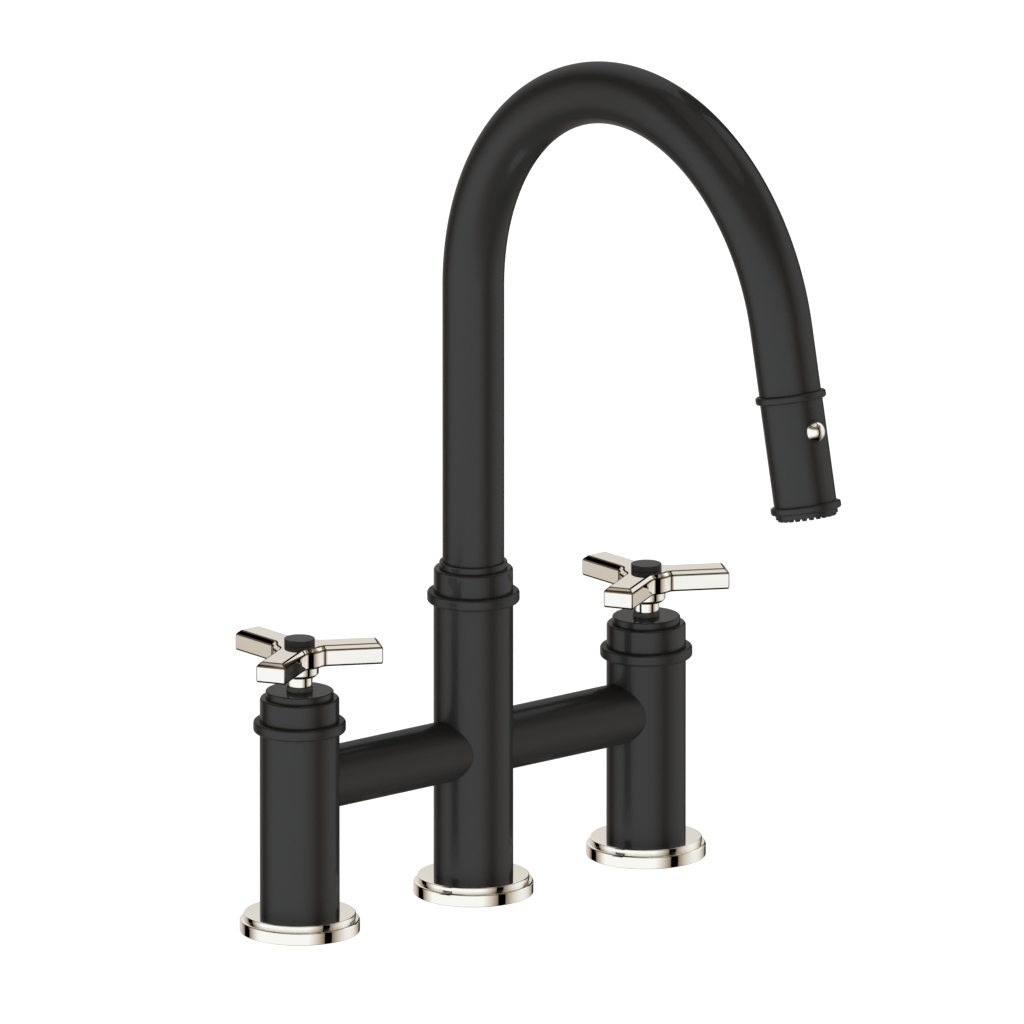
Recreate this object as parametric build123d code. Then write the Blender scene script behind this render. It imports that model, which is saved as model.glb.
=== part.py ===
from build123d import *
import os
from math import cos, radians, sin

# Bridge kitchen faucet: three pillars stand on the deck in a line and a bridge tube joins them.
# The outer pillars hold the hot and cold valves with their three-arm handles. The middle pillar
# carries a swivelling gooseneck spout, whose end holds a pull-down spray wand on a hose.
#
# Frame, in millimetres: +Z up, X along the bridge with the hot side at -X, and the spout reaches
# towards -Y. The origin is on the deck, at the centre of the middle flange's underside.

# ---------------------------------------------------------------- driving dimensions
# Layout
PILLAR_SPACING = 101.6  # outer pillar to middle pillar, half of an 8 inch set
BRIDGE_Z = 68.4  # axis of the bridge tube above the deck
DECK_THICKNESS = 16.0  # worktop that the nuts are drawn up against

# Flanges
FLANGE_R = 27.15
FLANGE_STEP_R = 25.35
FLANGE_STEP_Z = 5.8
FLANGE_TOP = 8.5
FLANGE_BORE_R = 15.5
GASKET_R = 22.0
GASKET_THICKNESS = 2.0

# Pillars
PILLAR_R = 18.0
CHAMBER_R = 13.5
SEAT_R = 9.0  # water way under each valve seat
SEAT_Z = 50.0
SIDE_PILLAR_TOP = 92.9
MIDDLE_PILLAR_TOP = 136.1

# Bridge tube
BRIDGE_R = 13.95
BRIDGE_SPIGOT_R = 10.0
BRIDGE_BORE_R = 7.0

# Trim rings and bonnets
TRIM_RING_R = 20.9
TRIM_RING_HEIGHT = 5.25
BONNET_R = 17.95
BONNET_BORE_R = 13.6
BONNET_STEP_R = 15.4
SIDE_BONNET_SHOULDER = 108.85
SIDE_BONNET_TOP = 112.0
MIDDLE_BONNET_SHOULDER = 152.0
MIDDLE_BONNET_TOP = 155.1

# Handles
ARM_COUNT = 3
FIRST_ARM_ANGLE = 90.0
ARM_REACH = 37.1
ARM_HALF_WIDTH = 7.0
HUB_R = 12.1
HUB_FILLET = 4.0
HANDLE_BOTTOM = 124.1
HANDLE_TOP = 133.6
HANDLE_BEVEL_DROP = 1.8
HANDLE_BEVEL_WIDTH = 1.9
INDEX_CAP_R = 6.95
INDEX_CAP_TOP = 136.2
SLEEVE_R = 5.9
SLEEVE_BOTTOM = 114.1
SKIRT_R = 8.75
SKIRT_BOTTOM = 118.7

# Valves
SPINDLE_R = 4.0
SPINDLE_TOP = 129.8
SPINDLE_SQUARE = 5.6
DISC_R = 8.9
DISC_PORT_ANGLE = 76.0  # each ceramic disc has two such sector ports

# Shanks and what clamps them under the deck
SIDE_SHANK_R = 10.3
SIDE_SHANK_BORE_R = 6.5
MIDDLE_SHANK_R = 13.2
MIDDLE_SHANK_BORE_R = 10.5
SHANK_ENTRY = 23.5  # height to which a shank screws up into its pillar
SIDE_SHANK_BOTTOM = -40.0
MIDDLE_SHANK_BOTTOM = -34.0
NUT_HEIGHT = 7.0

# Spout
SPOUT_R = 13.95
SPOUT_WALL = 1.5
SPOUT_FOOT_Z = 143.4
SPOUT_ARC_Z = 283.3  # height at which the straight riser ends
SPOUT_ARC_R = 109.0
OUTLET_TILT = 12.3  # degrees that the spout's end leans outwards from straight down
SPOUT_END_RUN = 29.2  # straight run from the arc's end to the parting line of the wand
JOURNAL_R = 11.0

# Hose and its guide tube through the middle pillar
HOSE_R = 6.25
HOSE_BORE_R = 3.8
GUIDE_R = 8.0
GUIDE_BORE_R = 6.8

# Wand, measured along its own axis from the parting line
WAND_R = 14.1
WAND_RING_R = 15.9
WAND_RING_HEIGHT = 3.5
LOWER_RING_START = 50.05
FACE_R = 14.05
FACE_END = 55.2
NOZZLE_END = 56.7
NOZZLE_COUNT = 24
NOZZLE_CIRCLE_R = 12.15
INNER_NOZZLE_CIRCLE_R = 10.0
BUTTON_R = 4.8
BUTTON_ALONG = 17.7  # from the parting line to the button's centre
BUTTON_RIM = 14.4  # from the wand's axis to the edge of the button's dome
BUTTON_DOME = 3.9
BUTTON_TRAVEL = 1.5

# Clearances
RUNNING_GAP = 0.06  # radial, between pieces that turn or slide in each other
SEAT_GAP = 0.05  # radial, between fixed pieces that are screwed or pressed together

LEFT = Pos(-PILLAR_SPACING, 0, 0)
RIGHT = Pos(PILLAR_SPACING, 0, 0)

# ---------------------------------------------------------------- the spout's line and the wand's frame
tilt = radians(OUTLET_TILT)
arc_end = Vector(0, -SPOUT_ARC_R * (1 + cos(tilt)), SPOUT_ARC_Z + SPOUT_ARC_R * sin(tilt))
outlet_direction = Vector(0, -sin(tilt), -cos(tilt))
parting_point = arc_end + outlet_direction * SPOUT_END_RUN

# Local Z runs along the wand towards the spray face, and local Y points away from the column.
WAND = Plane(origin=parting_point, x_dir=(1, 0, 0), z_dir=outlet_direction).location


def spout_line(start_z, end_run):
    """The spout's centre line from start_z on the column to end_run past the end of its arc."""
    crest = (0, -SPOUT_ARC_R, SPOUT_ARC_Z + SPOUT_ARC_R)
    riser = Line((0, 0, start_z), (0, 0, SPOUT_ARC_Z))
    bend = ThreePointArc(riser @ 1, crest, arc_end)
    run = Line(arc_end, arc_end + outlet_direction * end_run)
    return Wire([riser, bend, run])


# ---------------------------------------------------------------- shared shapes
def turned(outline, rounds=()):
    """A solid of revolution about Z from its (radius, height) corners; rounds are (corner, radius)."""
    profile = make_face(Polyline(*outline, close=True))
    for corner, radius in rounds:
        r, z = outline[corner]
        nearest = profile.vertices().sort_by_distance(Vector(r, z, 0))[0]
        profile = fillet(nearest, radius)
    return revolve(Plane.XZ * profile, Axis.Z)


def ring(outer_r, inner_r, bottom, top):
    """A plain ring about Z."""
    return turned([(inner_r, bottom), (outer_r, bottom), (outer_r, top), (inner_r, top)])


def on_both_sides(solid):
    """The same small piece in the hot valve and in the cold one."""
    return [LEFT * solid, RIGHT * solid]


def rod(radius, start, end):
    """A solid cylinder about Z from start to end."""
    return Pos(0, 0, start) * Cylinder(radius, end - start, align=(Align.CENTER, Align.CENTER, Align.MIN))


def along_x(solid):
    """Turns a solid made about Z so that it lies about X."""
    return Rot(0, 90, 0) * solid


def along_y(solid):
    """Turns a solid made about Z so that it lies about Y."""
    return Rot(-90, 0, 0) * solid


def tube_along(path, outer_r, inner_r):
    """A round tube swept along a path that starts straight up."""
    section = Plane(origin=path @ 0, z_dir=path % 0) * (Circle(outer_r) - Circle(inner_r))
    return sweep(section, path=path)


def hexagon_nut(across_flats, bore_r, bottom, top):
    """A hexagon nut with both of its faces chamfered round."""
    corner_r = across_flats / 2 / cos(radians(30))
    chamfer_drop = 0.9
    blank = extrude(Pos(0, 0, bottom) * RegularPolygon(corner_r, 6), top - bottom)
    rounded = turned(
        [
            (bore_r, bottom),
            (across_flats / 2, bottom),
            (corner_r, bottom + chamfer_drop),
            (corner_r, top - chamfer_drop),
            (across_flats / 2, top),
            (bore_r, top),
        ]
    )
    return blank & rounded


# ---------------------------------------------------------------- deck flanges
def flange():
    """Stepped cover flange with a recess underneath for its gasket and a fine groove at the step."""
    step_groove_r = FLANGE_STEP_R - 0.5
    step_groove_top = FLANGE_STEP_Z + 0.6
    return turned(
        [
            (FLANGE_BORE_R, GASKET_THICKNESS),
            (GASKET_R, GASKET_THICKNESS),
            (GASKET_R, 0),
            (FLANGE_R, 0),
            (FLANGE_R, FLANGE_STEP_Z),
            (step_groove_r, FLANGE_STEP_Z),
            (step_groove_r, step_groove_top),
            (FLANGE_STEP_R, step_groove_top),
            (FLANGE_STEP_R, FLANGE_TOP),
            (FLANGE_BORE_R, FLANGE_TOP),
        ],
        rounds=[(3, 0.3), (4, 1.0), (8, 0.6)],
    )


def deck_gasket():
    """Rubber ring pressed in the flange's recess, a hair above the deck face."""
    return ring(GASKET_R - SEAT_GAP, FLANGE_BORE_R + 0.5, 0.1, GASKET_THICKNESS)


# ---------------------------------------------------------------- pillars and bridge
PILLAR_SPIGOT_R = FLANGE_BORE_R - 0.1
PILLAR_SPIGOT_DROP = 2.6
BRIDGE_PORT_R = BRIDGE_SPIGOT_R + SEAT_GAP


def side_pillar(port_direction):
    """Outer pillar: shank thread below, valve seat and chamber above, and a side port for the bridge."""
    spigot_bottom = FLANGE_TOP - PILLAR_SPIGOT_DROP
    body = turned(
        [
            (SIDE_SHANK_R + SEAT_GAP, spigot_bottom),
            (PILLAR_SPIGOT_R, spigot_bottom),
            (PILLAR_SPIGOT_R, FLANGE_TOP),
            (PILLAR_R, FLANGE_TOP),
            (PILLAR_R, SIDE_PILLAR_TOP),
            (CHAMBER_R, SIDE_PILLAR_TOP),
            (CHAMBER_R, SEAT_Z),
            (SEAT_R, SEAT_Z),
            (SEAT_R, SHANK_ENTRY + 0.5),
            (SIDE_SHANK_R + SEAT_GAP, SHANK_ENTRY + 0.5),
        ]
    )
    start, end = sorted((0, port_direction * (PILLAR_R + 1)))
    port = along_x(rod(BRIDGE_PORT_R, start, end))
    return body - Pos(0, 0, BRIDGE_Z) * port


WEB_BOTTOM = 95.0
WEB_TOP = 104.0


def middle_pillar():
    """Middle pillar: mixing chamber below a web, and the seat of the spout's bearing above it."""
    spigot_bottom = FLANGE_TOP - PILLAR_SPIGOT_DROP
    mixing_r = MIDDLE_SHANK_R + SEAT_GAP
    body = turned(
        [
            (mixing_r, spigot_bottom),
            (PILLAR_SPIGOT_R, spigot_bottom),
            (PILLAR_SPIGOT_R, FLANGE_TOP),
            (PILLAR_R, FLANGE_TOP),
            (PILLAR_R, MIDDLE_PILLAR_TOP),
            (CHAMBER_R, MIDDLE_PILLAR_TOP),
            (CHAMBER_R, WEB_TOP),
            (GUIDE_R + SEAT_GAP, WEB_TOP),
            (GUIDE_R + SEAT_GAP, WEB_BOTTOM),
            (mixing_r, WEB_BOTTOM),
        ]
    )
    ports = along_x(rod(BRIDGE_PORT_R, -PILLAR_R - 1, PILLAR_R + 1))
    return body - Pos(0, 0, BRIDGE_Z) * ports


def bridge_tube():
    """One length of the bridge, coped to the pillars, with a spigot at each end that enters a port."""
    cope = rod(PILLAR_R + 0.02, -BRIDGE_R - 1, BRIDGE_R + 1)
    sleeve = along_x(rod(BRIDGE_R, 0, PILLAR_SPACING)) - cope - Pos(PILLAR_SPACING, 0, 0) * cope
    spigot_end = 11.6  # from a pillar's axis
    spigots = along_x(rod(BRIDGE_SPIGOT_R, spigot_end, PILLAR_SPACING - spigot_end))
    bore_step = 24.0
    water_way = turned(
        [
            (0, 0),
            (BRIDGE_BORE_R, 0),
            (BRIDGE_BORE_R, bore_step),
            (BRIDGE_R - 2.4, bore_step + 4),
            (BRIDGE_R - 2.4, PILLAR_SPACING - bore_step - 4),
            (BRIDGE_BORE_R, PILLAR_SPACING - bore_step),
            (BRIDGE_BORE_R, PILLAR_SPACING),
            (0, PILLAR_SPACING),
        ]
    )
    return Pos(0, 0, BRIDGE_Z) * (sleeve + spigots - along_x(water_way))


# ---------------------------------------------------------------- shanks and clamping parts
CLAMP_TOP = -DECK_THICKNESS
CLAMP_WASHER_TOP = CLAMP_TOP - 2.0
NUT_TOP = CLAMP_WASHER_TOP - 1.5
NUT_BOTTOM = NUT_TOP - NUT_HEIGHT
RELIEF_TOP = NUT_BOTTOM - 0.4
RELIEF_BOTTOM = RELIEF_TOP - 1.3


def side_shank():
    """Inlet shank; below the relief groove its end takes a supply connector."""
    end_bevel = 0.8
    return turned(
        [
            (SIDE_SHANK_BORE_R, SIDE_SHANK_BOTTOM),
            (SIDE_SHANK_R - end_bevel, SIDE_SHANK_BOTTOM),
            (SIDE_SHANK_R, SIDE_SHANK_BOTTOM + end_bevel),
            (SIDE_SHANK_R, RELIEF_BOTTOM),
            (SIDE_SHANK_R - end_bevel, RELIEF_BOTTOM),
            (SIDE_SHANK_R - end_bevel, RELIEF_TOP),
            (SIDE_SHANK_R, RELIEF_TOP),
            (SIDE_SHANK_R, SHANK_ENTRY),
            (SIDE_SHANK_BORE_R, SHANK_ENTRY),
        ]
    )


def middle_shank():
    """Wide shank round the hose guide; mixed water runs down between the two."""
    return ring(MIDDLE_SHANK_R, MIDDLE_SHANK_BORE_R, MIDDLE_SHANK_BOTTOM, SHANK_ENTRY)


def for_each_shank(make):
    """Three like pieces, one on each shank: make(radius of the shank)."""
    return [LEFT * make(SIDE_SHANK_R), make(MIDDLE_SHANK_R), RIGHT * make(SIDE_SHANK_R)]


def friction_washer(shank_r):
    """Rubber washer against the deck's underside."""
    return ring(shank_r + 9.0, shank_r + 0.3, CLAMP_WASHER_TOP, CLAMP_TOP)


def clamp_washer(shank_r):
    """Steel washer under the rubber one."""
    return ring(shank_r + 9.0, shank_r + 0.3, NUT_TOP, CLAMP_WASHER_TOP)


def fixing_nut(shank_r):
    """Brass nut that draws the faucet down on the deck."""
    return hexagon_nut(2 * shank_r + 11, shank_r + SEAT_GAP, NUT_BOTTOM, NUT_TOP)


HOSE_GUIDE_BOTTOM = -44.5
HOSE_GUIDE_TOP = 110.0
MANIFOLD_R = 17.0
MANIFOLD_TOP = -28.0
MANIFOLD_BOTTOM = -46.0
NIPPLE_Z = -38.5
NIPPLE_R = 4.8
NIPPLE_END = 32.0


def hose_guide():
    """Tube that keeps the spray hose apart from the water in the middle pillar."""
    return ring(GUIDE_R, GUIDE_BORE_R, HOSE_GUIDE_BOTTOM, HOSE_GUIDE_TOP)


def outlet_manifold():
    """Collar on the middle shank that gathers the mixed water to a nipple at the back."""
    thread_r = MIDDLE_SHANK_R + SEAT_GAP
    cavity_r = 12.4
    cavity_bottom = MANIFOLD_BOTTOM + 3.0
    collar = turned(
        [
            (GUIDE_R + SEAT_GAP, MANIFOLD_BOTTOM),
            (MANIFOLD_R, MANIFOLD_BOTTOM),
            (MANIFOLD_R, MANIFOLD_TOP),
            (thread_r, MANIFOLD_TOP),
            (thread_r, MIDDLE_SHANK_BOTTOM - 0.1),
            (cavity_r, MIDDLE_SHANK_BOTTOM - 0.1),
            (cavity_r, cavity_bottom),
            (GUIDE_R + SEAT_GAP, cavity_bottom),
        ],
        rounds=[(1, 1.0)],
    )
    nipple = turned(
        [
            (0, MANIFOLD_R - 3),
            (6.2, MANIFOLD_R - 3),
            (6.2, MANIFOLD_R + 3),
            (NIPPLE_R, MANIFOLD_R + 3),
            (NIPPLE_R, NIPPLE_END - 0.6),
            (NIPPLE_R - 0.6, NIPPLE_END),
            (0, NIPPLE_END),
        ]
    )
    bore = rod(3.0, cavity_r - 2, NIPPLE_END + 1)
    return collar + Pos(0, 0, NIPPLE_Z) * along_y(nipple) - Pos(0, 0, NIPPLE_Z) * along_y(bore)


# ---------------------------------------------------------------- trim rings and bonnets
def trim_ring(bottom):
    """Raised ring between a pillar and its bonnet."""
    top = bottom + TRIM_RING_HEIGHT
    return turned(
        [(BONNET_BORE_R, bottom), (TRIM_RING_R, bottom), (TRIM_RING_R, top), (BONNET_BORE_R, top)],
        rounds=[(1, 1.3), (2, 1.3)],
    )


STEM_HOLE_R = 6.05
SIDE_BONNET_ROOF = 105.3


def side_bonnet():
    """Cover over the valve: a drum with a smaller disc on top, pierced for the stem."""
    bottom = SIDE_PILLAR_TOP + TRIM_RING_HEIGHT
    return turned(
        [
            (BONNET_BORE_R, bottom),
            (BONNET_R, bottom),
            (BONNET_R, SIDE_BONNET_SHOULDER),
            (BONNET_STEP_R, SIDE_BONNET_SHOULDER),
            (BONNET_STEP_R, SIDE_BONNET_TOP),
            (STEM_HOLE_R, SIDE_BONNET_TOP),
            (STEM_HOLE_R, SIDE_BONNET_ROOF),
            (BONNET_BORE_R, SIDE_BONNET_ROOF),
        ],
        rounds=[(2, 1.3), (4, 0.7)],
    )


def middle_bonnet():
    """The same cover on the middle pillar, open for the spout to turn in."""
    bottom = MIDDLE_PILLAR_TOP + TRIM_RING_HEIGHT
    bore_r = SPOUT_R + RUNNING_GAP
    return turned(
        [
            (bore_r, bottom),
            (BONNET_R, bottom),
            (BONNET_R, MIDDLE_BONNET_SHOULDER),
            (BONNET_STEP_R, MIDDLE_BONNET_SHOULDER),
            (BONNET_STEP_R, MIDDLE_BONNET_TOP),
            (bore_r, MIDDLE_BONNET_TOP),
        ],
        rounds=[(2, 1.3), (4, 0.7)],
    )


# ---------------------------------------------------------------- quarter-turn valves
SEAL_TOP = 53.0
FIXED_DISC_TOP = 56.5
MOVING_DISC_TOP = 60.0
DISC_GAP = 0.02
DRIVE_TOP = 62.5
CARTRIDGE_TOP = 103.2


def seat_seal():
    """Rubber ring between a valve seat and its fixed disc."""
    return ring(DISC_R - SEAT_GAP, 6.2, SEAT_Z, SEAL_TOP)


def ported_disc(bottom, top, port_angle):
    """Ceramic disc with two opposite sector ports; port_angle is the direction of the first."""
    disc = rod(DISC_R, bottom, top)
    half = DISC_PORT_ANGLE / 2
    port_r = DISC_R - 1.4
    hub_r = 2.2
    for direction in (port_angle, port_angle + 180):
        sector = make_face(
            [
                Line(hub_point(hub_r, direction - half), hub_point(port_r, direction - half)),
                CenterArc((0, 0), port_r, direction - half, DISC_PORT_ANGLE),
                Line(hub_point(port_r, direction + half), hub_point(hub_r, direction + half)),
                CenterArc((0, 0), hub_r, direction - half, DISC_PORT_ANGLE),
            ]
        )
        disc -= extrude(Pos(0, 0, bottom - 1) * sector, top - bottom + 2)
    return disc


def hub_point(radius, angle):
    """A point at a polar place in the XY plane, with the angle in degrees."""
    return (radius * cos(radians(angle)), radius * sin(radians(angle)))


def fixed_disc():
    """Lower ceramic disc, held still in the cartridge."""
    return ported_disc(SEAL_TOP, FIXED_DISC_TOP, 0)


def moving_disc():
    """Upper ceramic disc, shut at rest: its ports stand a quarter turn from the fixed disc's."""
    disc = ported_disc(FIXED_DISC_TOP + DISC_GAP, MOVING_DISC_TOP, 90)
    return disc - Pos(0, 0, MOVING_DISC_TOP) * Box(13.0, 3.4, 2.4)


def cartridge_body():
    """Brass body that holds the discs and guides the spindle, with two windows for the water."""
    wall_r = 11.0
    body = turned(
        [
            (DISC_R + SEAT_GAP, SEAT_Z + 1.5),
            (wall_r, SEAT_Z + 1.5),
            (wall_r, 80),
            (CHAMBER_R - SEAT_GAP, 80),
            (CHAMBER_R - SEAT_GAP, 96),
            (wall_r, 96),
            (wall_r, CARTRIDGE_TOP),
            (SPINDLE_R + RUNNING_GAP, CARTRIDGE_TOP),
            (SPINDLE_R + RUNNING_GAP, 71),
            (DISC_R + SEAT_GAP, 71),
        ]
    )
    windows = Pos(0, 0, 66) * Box(11.0, 2 * wall_r + 2, 8.0)
    wrench_flats = Pos(0, 0, 99) * (Box(40, 40, 6.2) - extrude(Pos(0, 0, -4) * RegularPolygon(11.0, 6), 8))
    return body - windows - wrench_flats


def stem_bushing():
    """Black bushing that shows as a short ring under the handle's sleeve."""
    inner_r = SPINDLE_R + RUNNING_GAP
    outer_r = STEM_HOLE_R - SEAT_GAP
    return turned(
        [
            (inner_r, CARTRIDGE_TOP + 0.1),
            (8.0, CARTRIDGE_TOP + 0.1),
            (8.0, SIDE_BONNET_ROOF),
            (outer_r, SIDE_BONNET_ROOF),
            (outer_r, SLEEVE_BOTTOM - 0.1),
            (inner_r, SLEEVE_BOTTOM - 0.1),
        ]
    )


SCREW_HOLE_R = 2.0
SCREW_SEAT = 131.0
SQUARE_START = HANDLE_BOTTOM - 0.1


def spindle():
    """Valve spindle: a drive head with a tongue in the moving disc, and a square for the handle."""
    body = turned(
        [
            (0, MOVING_DISC_TOP + DISC_GAP),
            (7.6, MOVING_DISC_TOP + DISC_GAP),
            (7.6, DRIVE_TOP),
            (SPINDLE_R, DRIVE_TOP),
            (SPINDLE_R, SQUARE_START),
            (0, SQUARE_START),
        ]
    )
    square = Pos(0, 0, SQUARE_START) * Box(
        SPINDLE_SQUARE,
        SPINDLE_SQUARE,
        SPINDLE_TOP - SQUARE_START,
        align=(Align.CENTER, Align.CENTER, Align.MIN),
    )
    tongue = Pos(0, 0, MOVING_DISC_TOP - 0.5) * Box(12.6, 3.0, 1.2)
    return body + square + tongue - rod(SCREW_HOLE_R, 116, SPINDLE_TOP + 1)


def handle_sleeve():
    """Polished sleeve and skirt between the bushing and the handle."""
    bore_r = SPINDLE_R + SEAT_GAP
    skirt_bevel = 1.3
    return turned(
        [
            (bore_r, SLEEVE_BOTTOM),
            (SLEEVE_R, SLEEVE_BOTTOM),
            (SLEEVE_R, SKIRT_BOTTOM),
            (SKIRT_R - skirt_bevel, SKIRT_BOTTOM),
            (SKIRT_R, SKIRT_BOTTOM + skirt_bevel),
            (SKIRT_R, HANDLE_BOTTOM),
            (bore_r, HANDLE_BOTTOM),
        ],
        rounds=[(4, 0.5)],
    )


# ---------------------------------------------------------------- three-arm handle
SCREW_RECESS_R = 5.05


def handle():
    """Three flat-ended arms round a hub, filleted between the arms and bevelled along the top."""
    arm = Pos(ARM_REACH / 2, 0) * Rectangle(ARM_REACH, 2 * ARM_HALF_WIDTH)
    outline = Circle(HUB_R)
    for turn in range(ARM_COUNT):
        outline += Rot(0, 0, FIRST_ARM_ANGLE + turn * 360 / ARM_COUNT) * arm
    roots = outline.vertices().filter_by(lambda v: Vector(v.X, v.Y, 0).length < ARM_REACH / 2)
    outline = fillet(roots, HUB_FILLET)
    body = extrude(Pos(0, 0, HANDLE_BOTTOM) * outline, HANDLE_TOP - HANDLE_BOTTOM)
    top_edges = body.faces().sort_by(Axis.Z)[-1].edges()
    body = chamfer(top_edges, HANDLE_BEVEL_DROP, HANDLE_BEVEL_WIDTH, reference=body.faces().sort_by(Axis.Z)[-1])
    square_hole = Pos(0, 0, HANDLE_BOTTOM) * Box(
        SPINDLE_SQUARE + 2 * SEAT_GAP,
        SPINDLE_SQUARE + 2 * SEAT_GAP,
        2 * (SPINDLE_TOP + 0.2 - HANDLE_BOTTOM),
    )
    screw_way = rod(SCREW_HOLE_R + 0.2, HANDLE_BOTTOM, HANDLE_TOP + 1)
    recess = rod(SCREW_RECESS_R, SCREW_SEAT, HANDLE_TOP + 1)
    return body - square_hole - screw_way - recess


def handle_screw():
    """Socket-head screw that holds the handle down on the spindle."""
    head_top = SCREW_SEAT + 1.6
    body = turned(
        [
            (0, SPINDLE_TOP - 9),
            (SCREW_HOLE_R - SEAT_GAP, SPINDLE_TOP - 9),
            (SCREW_HOLE_R - SEAT_GAP, SCREW_SEAT),
            (4.4, SCREW_SEAT),
            (4.4, head_top),
            (0, head_top),
        ]
    )
    return body - extrude(Pos(0, 0, head_top - 1.1) * RegularPolygon(1.7, 6), 2)


def index_cap():
    """Plain black cap that closes the screw recess."""
    spigot_r = SCREW_RECESS_R - SEAT_GAP
    return turned(
        [
            (0, HANDLE_TOP - 0.7),
            (spigot_r, HANDLE_TOP - 0.7),
            (spigot_r, HANDLE_TOP),
            (INDEX_CAP_R, HANDLE_TOP),
            (INDEX_CAP_R, INDEX_CAP_TOP),
            (0, INDEX_CAP_TOP),
        ],
        rounds=[(4, 0.35)],
    )


# ---------------------------------------------------------------- spout and its swivel
SPOUT_BORE_R = SPOUT_R - SPOUT_WALL
BEARING_BORE_R = JOURNAL_R + RUNNING_GAP
BEARING_BOTTOM = 110.0
BEARING_FLANGE_TOP = SPOUT_FOOT_Z - 0.05
GROOVE_DEPTH = 1.3
GROOVE_WIDTH = 1.6
SWIVEL_RING_HEIGHTS = (118.0, 133.0)
CLIP_BOTTOM = 107.0
CLIP_HEIGHT = 1.2


def spout_tube():
    """Gooseneck tube: a straight riser, one arc, and a short straight end."""
    return tube_along(spout_line(SPOUT_FOOT_Z, SPOUT_END_RUN - 0.15), SPOUT_R, SPOUT_BORE_R)


def spout_journal():
    """Brass foot fixed in the tube, grooved for two O-rings and a clip, which turns in the bearing."""
    bottom = WEB_TOP + 0.5
    bore_r = GUIDE_R + 0.5
    groove_r = JOURNAL_R - GROOVE_DEPTH
    outline = [(bore_r, bottom), (JOURNAL_R, bottom)]
    outline += [
        (JOURNAL_R, CLIP_BOTTOM - 0.1),
        (groove_r, CLIP_BOTTOM - 0.1),
        (groove_r, CLIP_BOTTOM + CLIP_HEIGHT + 0.1),
        (JOURNAL_R, CLIP_BOTTOM + CLIP_HEIGHT + 0.1),
    ]
    for height in SWIVEL_RING_HEIGHTS:
        outline += [
            (JOURNAL_R, height - GROOVE_WIDTH / 2),
            (groove_r, height - GROOVE_WIDTH / 2),
            (groove_r, height + GROOVE_WIDTH / 2),
            (JOURNAL_R, height + GROOVE_WIDTH / 2),
        ]
    foot_top = SPOUT_FOOT_Z + 18
    outline += [
        (JOURNAL_R, SPOUT_FOOT_Z),
        (SPOUT_BORE_R - SEAT_GAP, SPOUT_FOOT_Z),
        (SPOUT_BORE_R - SEAT_GAP, foot_top),
        (bore_r, foot_top),
    ]
    return turned(outline)


def swivel_rings():
    """Two O-rings that steady the journal in its bearing."""
    section_r = 0.62
    centre_r = JOURNAL_R - section_r
    return [Pos(0, 0, height) * Torus(centre_r, section_r) for height in SWIVEL_RING_HEIGHTS]


def spout_clip():
    """Retaining ring in the journal's lower groove, open at the back."""
    clip = ring(12.4, JOURNAL_R - GROOVE_DEPTH + SEAT_GAP, CLIP_BOTTOM, CLIP_BOTTOM + CLIP_HEIGHT)
    return clip - Pos(0, 12, CLIP_BOTTOM) * Box(9, 10, 4)


def swivel_bearing():
    """Nylon sleeve with a flange, in which the spout turns."""
    outer_r = CHAMBER_R - SEAT_GAP
    flange_bottom = MIDDLE_PILLAR_TOP + TRIM_RING_HEIGHT
    return turned(
        [
            (BEARING_BORE_R, BEARING_BOTTOM),
            (outer_r, BEARING_BOTTOM),
            (outer_r, flange_bottom),
            (SPOUT_R, flange_bottom),
            (SPOUT_R, BEARING_FLANGE_TOP),
            (BEARING_BORE_R, BEARING_FLANGE_TOP),
        ]
    )


# ---------------------------------------------------------------- docking socket and hose
DOCK_BORE_R = 10.4
MAGNET_START = -4.0


def spout_dock():
    """Plastic socket in the spout's end that the wand's neck slides into."""
    outer_r = SPOUT_BORE_R - SEAT_GAP
    throat_r = 7.6
    return WAND * turned(
        [
            (DOCK_BORE_R, MAGNET_START - 0.1),
            (outer_r, MAGNET_START - 0.1),
            (outer_r, -27),
            (throat_r, -27),
            (throat_r, -24),
            (DOCK_BORE_R, -20),
        ]
    )


def dock_magnet():
    """Ring magnet at the mouth of the socket, which holds the wand home."""
    return WAND * ring(SPOUT_BORE_R - SEAT_GAP, DOCK_BORE_R, MAGNET_START, -0.5)


HOSE_END = -17.9


def spray_hose():
    """Spray hose, whole inside the spout: down the arc, the column and the guide tube."""
    return tube_along(spout_line(HOSE_GUIDE_BOTTOM + 1, SPOUT_END_RUN + HOSE_END), HOSE_R, HOSE_BORE_R)


def hose_coupling():
    """Brass coupling crimped on the hose, on whose flange the wand turns."""
    body_r = 6.9
    flange_r = 8.3
    return WAND * turned(
        [
            (3.5, HOSE_END + 0.1),
            (body_r, HOSE_END + 0.1),
            (body_r, -1.0),
            (flange_r, -1.0),
            (flange_r, 2.5),
            (3.5, 2.5),
        ]
    )


# ---------------------------------------------------------------- spray wand
NECK_R = 10.0
NECK_BORE_R = 7.1
RING_SEAT_R = 12.6
SHELL_BORE_R = 12.0
LOWER_RING_END = LOWER_RING_START + WAND_RING_HEIGHT


def across_wand(solid):
    """Puts a solid made about Z across the wand at the button, with +Z towards the outside."""
    return WAND * (Pos(0, 0, BUTTON_ALONG) * (along_y(solid)))


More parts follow.
